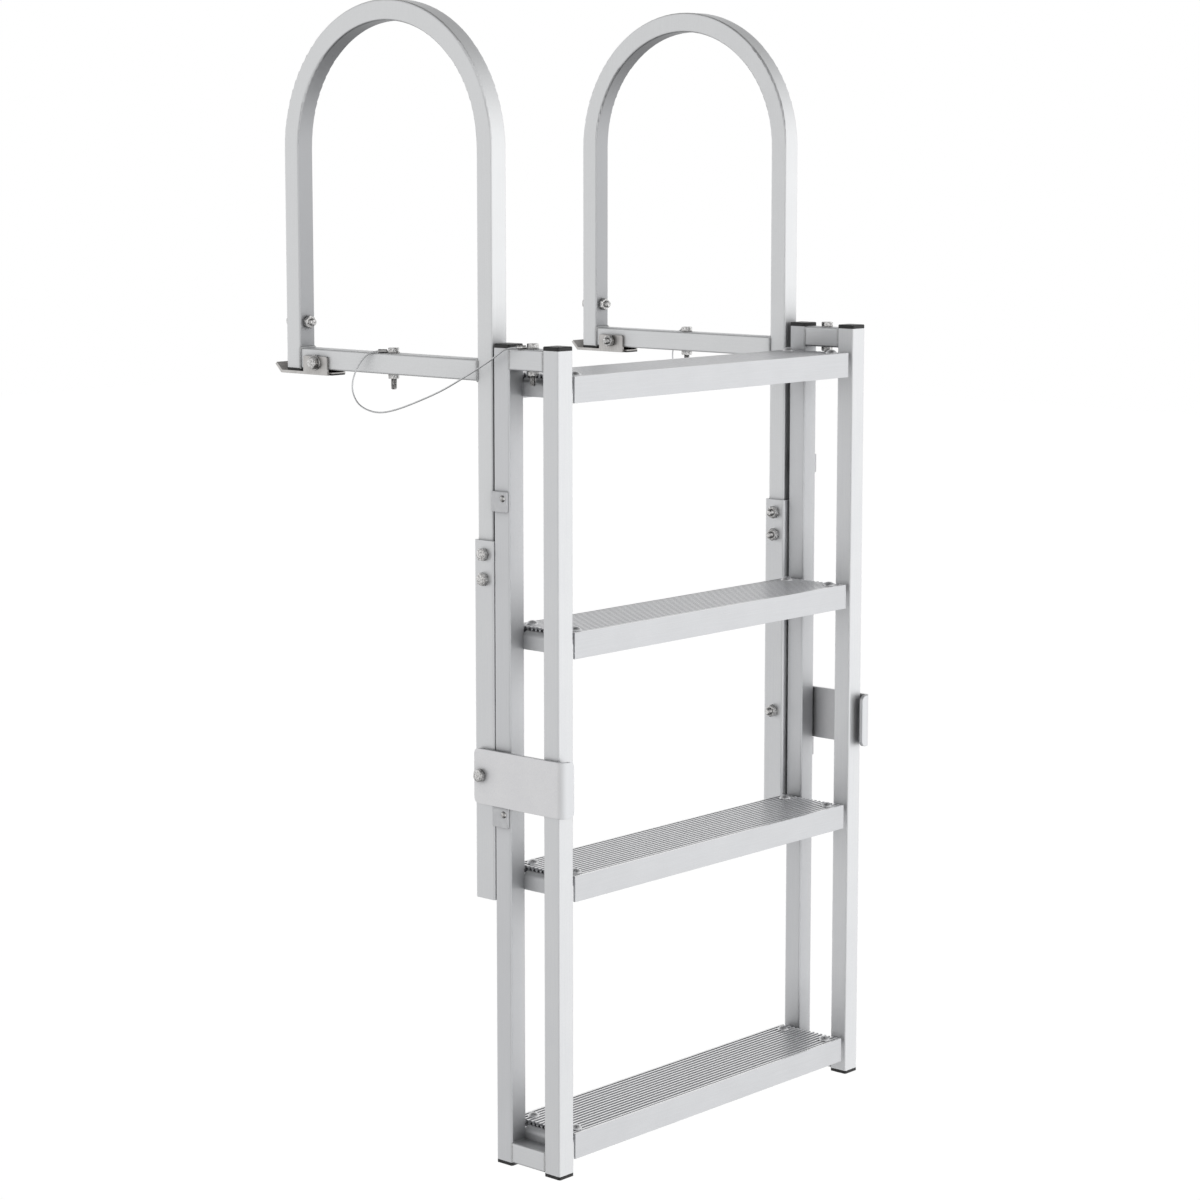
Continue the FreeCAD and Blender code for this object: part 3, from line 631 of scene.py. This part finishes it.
placeFasteners("sleeveBolts", hexBolt("sleeveBolt", bigHex, sleeveGrip, stud), sleeveSeats,
               "dock_frame", ["sleeve_bolts"], 11)
placeFasteners("guideBolts", hexBolt("guideBolt", bigHex, guideGrip, stud), [(guideSeat, inward)],
               "dock_frame", ["guide_bolts"], 12)
placeFasteners("footBolts", hexBolt("footBolt", bigHex, footGrip, stud, boltLayout["washer"]),
               [(footSeat, inward)], "dock_frame", ["foot_bolts"], 13)
placeFasteners("legBolts", hexBolt("legBolt", bigHex, tube, stud), [(legSeat, forward)],
               "dock_frame", ["leg_bolts"], 14)
placeFasteners("barBolts", hexBolt("barBolt", smallHex, eyeGrip, boltLayout["barStud"]),
               [(barSeat, down)], "dock_frame", ["lanyard_bar_bolts"], 15)
placeFasteners("railBolts", hexBolt("railBolt", smallHex, eyeGrip, boltLayout["railStud"]),
               [(railSeat, down)], "ladder", ["lanyard_rail_bolts"], 16)
treadGrip = boltLayout["deck"] + boltLayout["angle"]
for number in range(1, 5):
    low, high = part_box("tread_%d" % number)
    boltX = high.x - boltLayout["treadInset"]
    seats = []
    for y in (low.y + boltLayout["treadFront"], high.y - boltLayout["treadRear"]):
        seats.append((Vector((boltX, y, high.z)), down))
    placeFasteners("treadBolts%d" % number,
                   domeBolt("treadBolt", treadBolt, treadGrip, boltLayout["treadStud"]),
                   seats, "ladder", ["tread_%d_bolts" % number], 20 + number, domeSteel)
print("fasteners placed")


# Stop clips: a moulded pad on the rail's outer face with a pocket round its screw,
# and a thin tongue round the rail's rear corner


clipSizes = {
    "height": 24 * mm, "wall": 4.0 * mm, "frontInset": 2.0 * mm, "tongue": 1.2 * mm, "tongueReach": 10 * mm,
    "rim": 1.1 * mm, "pocket": 0.5 * mm, "screwSetback": 6.4 * mm, "screwDrop": 8.0 * mm, "round": 0.5 * mm,
    "smoothAngle": 30,
}


def stopClipMesh(top, side):
    # side is 1 on the right and -1 on the left
    face = rearRail[1].x
    front, back = rearRail[0].y + clipSizes["frontInset"], rearRail[1].y + clipSizes["tongue"]
    build = bmesh.new()
    low, high = top - clipSizes["height"], top
    for x0, x1, y0, y1 in ((face, face + clipSizes["wall"], front, back),
                           (face - clipSizes["tongueReach"], face + 1 * mm, rearRail[1].y, back)):
        made = bmesh.ops.create_cube(build, size=1.0)["verts"]
        size = Vector((x1 - x0, y1 - y0, high - low))
        centre = Vector(((x0 + x1) / 2, (y0 + y1) / 2, (low + high) / 2))
        for vert in made:
            vert.co = Vector([vert.co[i] * size[i] + centre[i] for i in range(3)])
    outer = max(build.faces, key=lambda f: f.calc_center_median().x)
    bmesh.ops.inset_region(build, faces=[outer], thickness=clipSizes["rim"])
    for vert in outer.verts:
        vert.co.x -= clipSizes["pocket"]
    if side < 0:
        for vert in build.verts:
            vert.co = otherSide(vert.co)
    bmesh.ops.recalc_face_normals(build, faces=build.faces)
    mesh = bpy.data.meshes.new("stopClip")
    build.to_mesh(mesh)
    build.free()
    return mesh


for nodeName, name in (("upper_stop_clips", "upperStopClips"), ("lower_stop_clips", "lowerStopClips")):
    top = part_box(nodeName)[1].z
    build = bmesh.new()
    for side in (1, -1):
        part = stopClipMesh(top, side)
        build.from_mesh(part)
        bpy.data.meshes.remove(part)
    mesh = bpy.data.meshes.new(name)
    build.to_mesh(mesh)
    build.free()
    mesh.materials.append(clipPlastic)
    source = meshObject(name + "Source", mesh)
    source.modifiers.new("softEdges", "BEVEL").width = clipSizes["round"]
    source.modifiers["softEdges"].segments = 2
    clips = frozen(source, name)
    clips.data.shade_smooth()
    clips.data.set_sharp_from_angle(angle=math.radians(clipSizes["smoothAngle"]))
    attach(clips, "ladder")
    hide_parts(nodeName)

screwSeats = []
for nodeName in ("upper_stop_clips", "lower_stop_clips"):
    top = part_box(nodeName)[1].z
    screwSeats.append((Vector((rearRail[1].x + clipSizes["wall"] - clipSizes["pocket"],
                               rearRail[0].y + clipSizes["frontInset"] + clipSizes["screwSetback"],
                               top - clipSizes["screwDrop"])), inward))
placeFasteners("clipScrews", domeBolt("clipScrew", clipScrew, clipScrew["grip"], 0), screwSeats, "ladder",
               ["stop_clip_screws"], 31)
print("stop clips fitted")


# Wire lanyards: a ring terminal crimped on each end of a stranded rope


eyeSizes = {
    "ring": 15 * mm, "hole": 8.3 * mm, "wall": 1.4 * mm, "barrel": 4.6 * mm, "barrelStart": 8.2 * mm,
    "barrelLength": 11 * mm, "barrelRise": 2.4 * mm, "socket": 6 * mm, "crimp": 0.2 * mm,
    "soft": 0.3 * mm, "neck": 2.2 * mm, "lead": 0.6 * mm,
}


def ringTerminalMesh(seat, way, mirror):
    # seat is the ring's top on the bolt's axis, way the level direction of the barrel
    build = bmesh.new()
    outer, hole, wall, soft = eyeSizes["ring"] / 2, eyeSizes["hole"] / 2, eyeSizes["wall"], eyeSizes["soft"]
    loop = [(hole, -wall + soft), (hole, -soft), (hole + soft, 0), (outer - soft, 0), (outer, -soft),
            (outer, -wall + soft), (outer - soft, -wall), (hole + soft, -wall), (hole, -wall + soft)]
    rings = []
    for radius, height in loop[:-1]:
        rings.append(levelRing(build, radius, height, 40))
    joinRings(build, rings + rings[:1])
    # the flat neck swells into the barrel, which has two crimps
    centre = -wall + eyeSizes["barrelRise"]
    radius, start, length = eyeSizes["barrel"] / 2, eyeSizes["barrelStart"], eyeSizes["barrelLength"]
    neck, lead = eyeSizes["neck"], eyeSizes["lead"]
    sections = [(outer - 1.2 * mm, neck, wall / 2, -wall / 2), (start - 1 * mm, neck, wall / 2, -wall / 2),
                (start, radius, radius * 0.75, centre - 0.3 * mm)]
    for i in range(13):
        share = i / 12
        dent = 0
        if 0.1 < share < 0.9:
            dent = eyeSizes["crimp"] * max(0, math.cos(share * math.tau * 2.5 - math.pi))
        along = start + lead + (length - lead) * share
        sections.append((along, radius - dent * 0.4, radius - dent, centre))
    sections.append((start + length, radius * 0.55, radius * 0.55, centre))
    rings = [[build.verts.new((sections[0][0], 0, sections[0][3]))]]
    for along, wide, tall, height in sections:
        turn = [math.tau * i / 20 for i in range(20)]
        rings.append([build.verts.new((along, wide * math.cos(a), height + tall * math.sin(a)))
                      for a in turn])
    rings.append([build.verts.new((sections[-1][0], 0, centre))])
    joinRings(build, rings)
    turnTo = Matrix.Rotation(math.atan2(way.y, way.x), 4, "Z")
    bmesh.ops.transform(build, matrix=Matrix.Translation(seat) @ turnTo, verts=build.verts)
    if mirror:
        for vert in build.verts:
            vert.co = otherSide(vert.co)
    return finishMesh(build, "ringTerminal")


def joined(name, meshes, finish):
    build = bmesh.new()
    for mesh in meshes:
        build.from_mesh(mesh)
    whole = bpy.data.meshes.new(name)
    build.to_mesh(whole)
    build.free()
    whole.shade_smooth()
    whole.set_sharp_from_angle(angle=math.radians(fastenerShape["smoothAngle"]))
    whole.materials.append(finish)
    return meshObject(name, whole)


barWay, railWay = Vector((0.6, 1.0, 0)).normalized(), Vector((1.0, 0.8, 0)).normalized()
for name, node, seat, way, body in (("barEyes", "lanyard_bar_eyes", barSeat, barWay, "dock_frame"),
                                    ("railEyes", "lanyard_rail_eyes", railSeat, railWay, "ladder")):
    eyes = joined(name, [ringTerminalMesh(seat, way, mirror) for mirror in (False, True)], boltSteel)
    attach(eyes, body)
    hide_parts(node)


def wireEnd(seat, way):
    # where the rope ends inside the barrel, and where it leaves it
    level = seat + Vector((0, 0, eyeSizes["barrelRise"] - eyeSizes["wall"]))
    mouth = eyeSizes["barrelStart"] + eyeSizes["barrelLength"]
    return level + way * (mouth - eyeSizes["socket"]), level + way * mouth


ropeSizes = {"diameter": 2.0 * mm, "strands": 6, "groove": 0.16, "lay": 13 * mm, "sides": 24,
             "smoothAngle": 60, "length": 0.380, "barStub": 17 * mm, "railStub": 18 * mm}
barEnd, barMouth = wireEnd(barSeat, barWay)
railEnd, railMouth = wireEnd(railSeat, railWay)
# the rope hangs in a loop below the deck bar, then runs up past the post to the cross tube
ropeRoute = [
    barEnd,
    barEnd + barWay * ropeSizes["barStub"],
    Vector((0.5778, -0.10305, 0.0152)),
    Vector((0.5818, -0.09605, -0.0098)),
    Vector((0.5828, -0.10605, -0.0288)),
    Vector((0.5828, -0.12405, -0.0373)),
    Vector((0.5828, -0.14805, -0.0398)),
    Vector((0.5828, -0.17705, -0.0338)),
    Vector((0.5828, -0.21205, -0.0223)),
    Vector((0.5828, -0.25405, -0.0068)),
    Vector((0.5828, -0.28905, 0.0102)),
    Vector((0.5828, -0.31905, 0.0252)),
    Vector((0.5828, -0.34365, 0.0387)),
    railEnd + railWay * ropeSizes["railStub"],
    railEnd,
]


def smoothRoute(points):
    # the points of a NURBS spline through the route
    curve = bpy.data.curves.new("ropeRoute", "CURVE")
    curve.dimensions = "3D"
    curve.resolution_u = 48
    spline = curve.splines.new("NURBS")
    spline.points.add(len(points) - 1)
    for control, point in zip(spline.points, points):
        control.co = (*point, 1)
    spline.order_u = 3
    spline.use_endpoint_u = True
    source = bpy.data.objects.new("ropeRoute", curve)
    bpy.context.scene.collection.objects.link(source)
    graph = bpy.context.evaluated_depsgraph_get()
    mesh = bpy.data.meshes.new_from_object(source.evaluated_get(graph), depsgraph=graph)
    line = [vert.co.copy() for vert in mesh.vertices]
    bpy.data.objects.remove(source)
    bpy.data.meshes.remove(mesh)
    return line


def strandedTube(name, line):
    # strands laid round a core: the section has a lobe for each and turns along the rope
    build = bmesh.new()
    rings = []
    side = Vector((0, 0, 1))
    travelled = 0.0
    for i, point in enumerate(line):
        ahead = (line[min(i + 1, len(line) - 1)] - line[max(i - 1, 0)]).normalized()
        side = (side - ahead * side.dot(ahead)).normalized()
        other = ahead.cross(side)
        travelled += (point - line[i - 1]).length if i else 0.0
        twist = math.tau * travelled / ropeSizes["lay"]
        ring = []
        for k in range(ropeSizes["sides"]):
            a = math.tau * k / ropeSizes["sides"]
            crown = abs(math.cos(ropeSizes["strands"] / 2 * (a - twist)))
            radius = ropeSizes["diameter"] / 2 * (1 - ropeSizes["groove"] + ropeSizes["groove"] * crown)
            ring.append(build.verts.new(point + side * radius * math.cos(a) + other * radius * math.sin(a)))
        rings.append(ring)
    joinRings(build, [[build.verts.new(line[0])]] + rings + [[build.verts.new(line[-1])]])
    return finishMesh(build, name, ropeSizes["smoothAngle"])


for name, node, mirror in (("rightRope", "right_lanyard", False), ("leftRope", "left_lanyard", True)):
    line = smoothRoute(ropeRoute)
    exits = [barMouth, railMouth]
    if mirror:
        line, exits = [otherSide(point) for point in line], [otherSide(point) for point in exits]
    mesh = strandedTube(name, line)
    mesh.materials.append(ropeSteel)
    ropePiece = meshObject(name, mesh)
    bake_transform(ropePiece)
    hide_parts(node)
print("lanyards laid")


# Welds: overlapping ripples along each joint


weldSizes = {"bead": 2.1 * mm, "ripple": 1.3 * mm, "thick": 0.55, "thickest": 0.6875,
             "widths": (0.88, 1.1), "tubeCorner": 2.5 * mm, "ladderInset": 2.6 * mm,
             "angleGap": 0.4 * mm, "angleFoot": 1 * mm, "angleTop": 6 * mm}


def weldTree():
    tree = bpy.data.node_groups.new("weldRipples", "GeometryNodeTree")
    tree.interface.new_socket(name="Path", in_out="INPUT", socket_type="NodeSocketGeometry")
    tree.interface.new_socket(name="Bead", in_out="INPUT", socket_type="NodeSocketFloat")
    tree.interface.new_socket(name="Ripple", in_out="INPUT", socket_type="NodeSocketFloat")
    tree.interface.new_socket(name="Finish", in_out="INPUT", socket_type="NodeSocketMaterial")
    tree.interface.new_socket(name="Weld", in_out="OUTPUT", socket_type="NodeSocketGeometry")
    given = addNode(tree, "NodeGroupInput")
    seam = addNode(tree, "GeometryNodeMeshToCurve", None, {"Mesh": given.outputs["Path"]})
    steps = addNode(tree, "GeometryNodeResampleCurve", None,
                    {"Curve": seam, "Length": given.outputs["Ripple"]}, mode="LENGTH")
    ball = addNode(tree, "GeometryNodeMeshIcoSphere", {"Subdivisions": 2}, {"Radius": given.outputs["Bead"]})
    soft = addNode(tree, "GeometryNodeSetShadeSmooth", None, {"Geometry": ball})
    along = addNode(tree, "GeometryNodeInputTangent")
    aimed = addNode(tree, "FunctionNodeAlignRotationToVector", None, {"Vector": along}, axis="Z")
    slim, wide = weldSizes["widths"]
    uneven = addNode(tree, "FunctionNodeRandomValue",
                     {0: (slim, slim, weldSizes["thick"]), 1: (wide, wide, weldSizes["thickest"]),
                      "Seed": 7}, data_type="FLOAT_VECTOR")
    laid = addNode(tree, "GeometryNodeInstanceOnPoints", None,
                   {"Points": steps, "Instance": soft, "Rotation": aimed, "Scale": uneven})
    real = addNode(tree, "GeometryNodeRealizeInstances", None, {"Geometry": laid})
    coated = addNode(tree, "GeometryNodeSetMaterial", None,
                     {"Geometry": real, "Material": given.outputs["Finish"]})
    addNode(tree, "NodeGroupOutput", None, {"Weld": coated})
    return tree


def squareSeam(x, y, z, size):
    # the outline of a square tube's end, in the XZ plane at y
    half, corner = size / 2, weldSizes["tubeCorner"]
    seam = []
    for turn in range(4):
        for step in range(4):
            a = math.radians(90 * turn + 30 * step)
            centre = [(half - corner) * sign for sign in ((1, 1), (-1, 1), (-1, -1), (1, -1))[turn]]
            seam.append(Vector((x + centre[0] + corner * math.cos(a), y,
                                z + centre[1] + corner * math.sin(a))))
    return seam + seam[:1]


def weldSeams(name, seams, body):
    verts, edges = [], []
    for seam in seams:
        for side in (seam, [otherSide(point) for point in seam]):
            first = len(verts)
            verts += side
            edges += [(first + i, first + i + 1) for i in range(len(side) - 1)]
    path = bpy.data.meshes.new(name)
    path.from_pydata(verts, edges, [])
    source = meshObject(name + "Path", path)
    ripples = source.modifiers.new("ripples", "NODES")
    ripples.node_group = rippleTree
    ripples[socketNamed(rippleTree, "Bead")] = weldSizes["bead"]
    ripples[socketNamed(rippleTree, "Ripple")] = weldSizes["ripple"]
    ripples[socketNamed(rippleTree, "Finish")] = weldMetal
    welds = frozen(source, name)
    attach(welds, body)
    print(name, len(welds.data.polygons), "faces")


rippleTree = weldTree()
barLevel = (rightBar[0].z + rightBar[1].z) / 2
barSeams = [squareSeam(barX, y, barLevel, tube) for y in (rightBar[0].y, rightBar[1].y)]
weldSeams("frameWelds", barSeams, "dock_frame")
ladderSeams = []
for nodeName in ("right_top_cross_tube", "right_bottom_cross_tube"):
    low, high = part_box(nodeName)
    for y in (low.y, high.y):
        ladderSeams.append(squareSeam(railX, y, (low.z + high.z) / 2, tube - weldSizes["ladderInset"]))
for number in range(1, 5):
    low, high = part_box("tread_%d_angles" % number)
    for y in (rightRail[1].y, rearRail[0].y):
        x = rightRail[0].x - weldSizes["angleGap"]
        ladderSeams.append([Vector((x, y, low.z + weldSizes["angleFoot"])),
                            Vector((x, y, high.z - weldSizes["angleTop"]))])
weldSeams("ladderWelds", ladderSeams, "ladder")


# Studio: a white sky and floor for the camera, and a soft grey tent for the metal


studioLook = {
    # each panel's direction in degrees from +X towards +Y, and its strength
    "panels": ((0, 0.58), (45, 0.80), (90, 0.46), (135, 0.76), (180, 0.20), (225, 0.77), (270, 0.86),
               (315, 0.84)),
    "fill": 0.02, "panelFalloff": 3.0,
    "floorShade": 0.10, "floorWhite": 1.08, "floorBounce": 0.75, "floorSize": 12.0,
    "floorDrop": 0.3,  # clear of the ladder when it is let down
}


def softTent():
    # soft panels stood round the ladder, each fading with the angle from its middle
    world = bpy.data.worlds.new("studioTent")
    world.use_nodes = True
    tree = world.node_tree
    tree.nodes.clear()
    way = addNode(tree, "ShaderNodeTexCoord").outputs["Generated"]
    total = None
    for turn, power in studioLook["panels"]:
        a = math.radians(turn)
        facing = addNode(tree, "ShaderNodeVectorMath", {1: (math.cos(a), math.sin(a), 0)}, {0: way},
                         operation="DOT_PRODUCT")
        ahead = addNode(tree, "ShaderNodeMath", {1: 0.0}, {0: facing.outputs["Value"]}, operation="MAXIMUM")
        soft = addNode(tree, "ShaderNodeMath", {1: studioLook["panelFalloff"]}, {0: ahead},
                       operation="POWER")
        if total is None:
            total = addNode(tree, "ShaderNodeMath", {1: power, 2: studioLook["fill"]}, {0: soft},
                            operation="MULTIPLY_ADD")
        else:
            total = addNode(tree, "ShaderNodeMath", {1: power}, {0: soft, 2: total},
                            operation="MULTIPLY_ADD")
    tent = addNode(tree, "ShaderNodeBackground", {"Color": colour("FFFFFF")}, {"Strength": total})
    white = addNode(tree, "ShaderNodeBackground", {"Color": colour("FFFFFF"), "Strength": 1.0})
    seen = addNode(tree, "ShaderNodeLightPath").outputs["Is Camera Ray"]
    mixed = addNode(tree, "ShaderNodeMixShader", None, {0: seen, 1: tent, 2: white})
    addNode(tree, "ShaderNodeOutputWorld", None, {"Surface": mixed})
    return world


def paleFloor():
    # white to the camera but for a faint shadow, clear to reflections, pale to bounced light
    finish = bpy.data.materials.new("studioFloor")
    finish.use_nodes = True
    tree = finish.node_tree
    tree.nodes.clear()
    ray = addNode(tree, "ShaderNodeLightPath")
    white = addNode(tree, "ShaderNodeEmission",
                    {"Color": colour("FFFFFF"), "Strength": studioLook["floorWhite"]})
    matt = addNode(tree, "ShaderNodeBsdfDiffuse", {"Color": [studioLook["floorBounce"]] * 3 + [1.0]})
    clear = addNode(tree, "ShaderNodeBsdfTransparent")
    seen = addNode(tree, "ShaderNodeMixShader", {0: studioLook["floorShade"]}, {1: white, 2: matt})
    bounced = addNode(tree, "ShaderNodeMixShader", None,
                      {0: ray.outputs["Is Camera Ray"], 1: matt, 2: seen})
    whole = addNode(tree, "ShaderNodeMixShader", None,
                    {0: ray.outputs["Is Glossy Ray"], 1: bounced, 2: clear})
    addNode(tree, "ShaderNodeOutputMaterial", None, {"Surface": whole})
    return finish


bpy.context.scene.world = softTent()
build = bmesh.new()
bmesh.ops.create_grid(build, x_segments=1, y_segments=1, size=studioLook["floorSize"])
for vert in build.verts:
    vert.co += Vector((middleX, 0, cadBounds[0][2] - studioLook["floorDrop"]))
floorMesh = bpy.data.meshes.new("studioFloor")
build.to_mesh(floorMesh)
build.free()
floorMesh.materials.append(paleFloor())
meshObject("studioFloor", floorMesh)

cameraLook = {
    "place": (-2.60795, -2.81739, 0.29425), "turn": -48.177, "tilt": 82.464, "sensor": 36,
    "lens": 91.367, "shift": -0.05,
}
camera = bpy.data.objects.new("photoCamera", bpy.data.cameras.new("photoCamera"))
bpy.context.scene.collection.objects.link(camera)
camera.location = cameraLook["place"]
camera.rotation_euler = (math.radians(cameraLook["tilt"]), 0, math.radians(cameraLook["turn"]))
camera.data.sensor_width = cameraLook["sensor"]
camera.data.lens = cameraLook["lens"]
camera.data.shift_y = cameraLook["shift"]
bpy.context.scene.camera = camera
bpy.context.scene.view_settings.view_transform = "Standard"
print("studio ready")
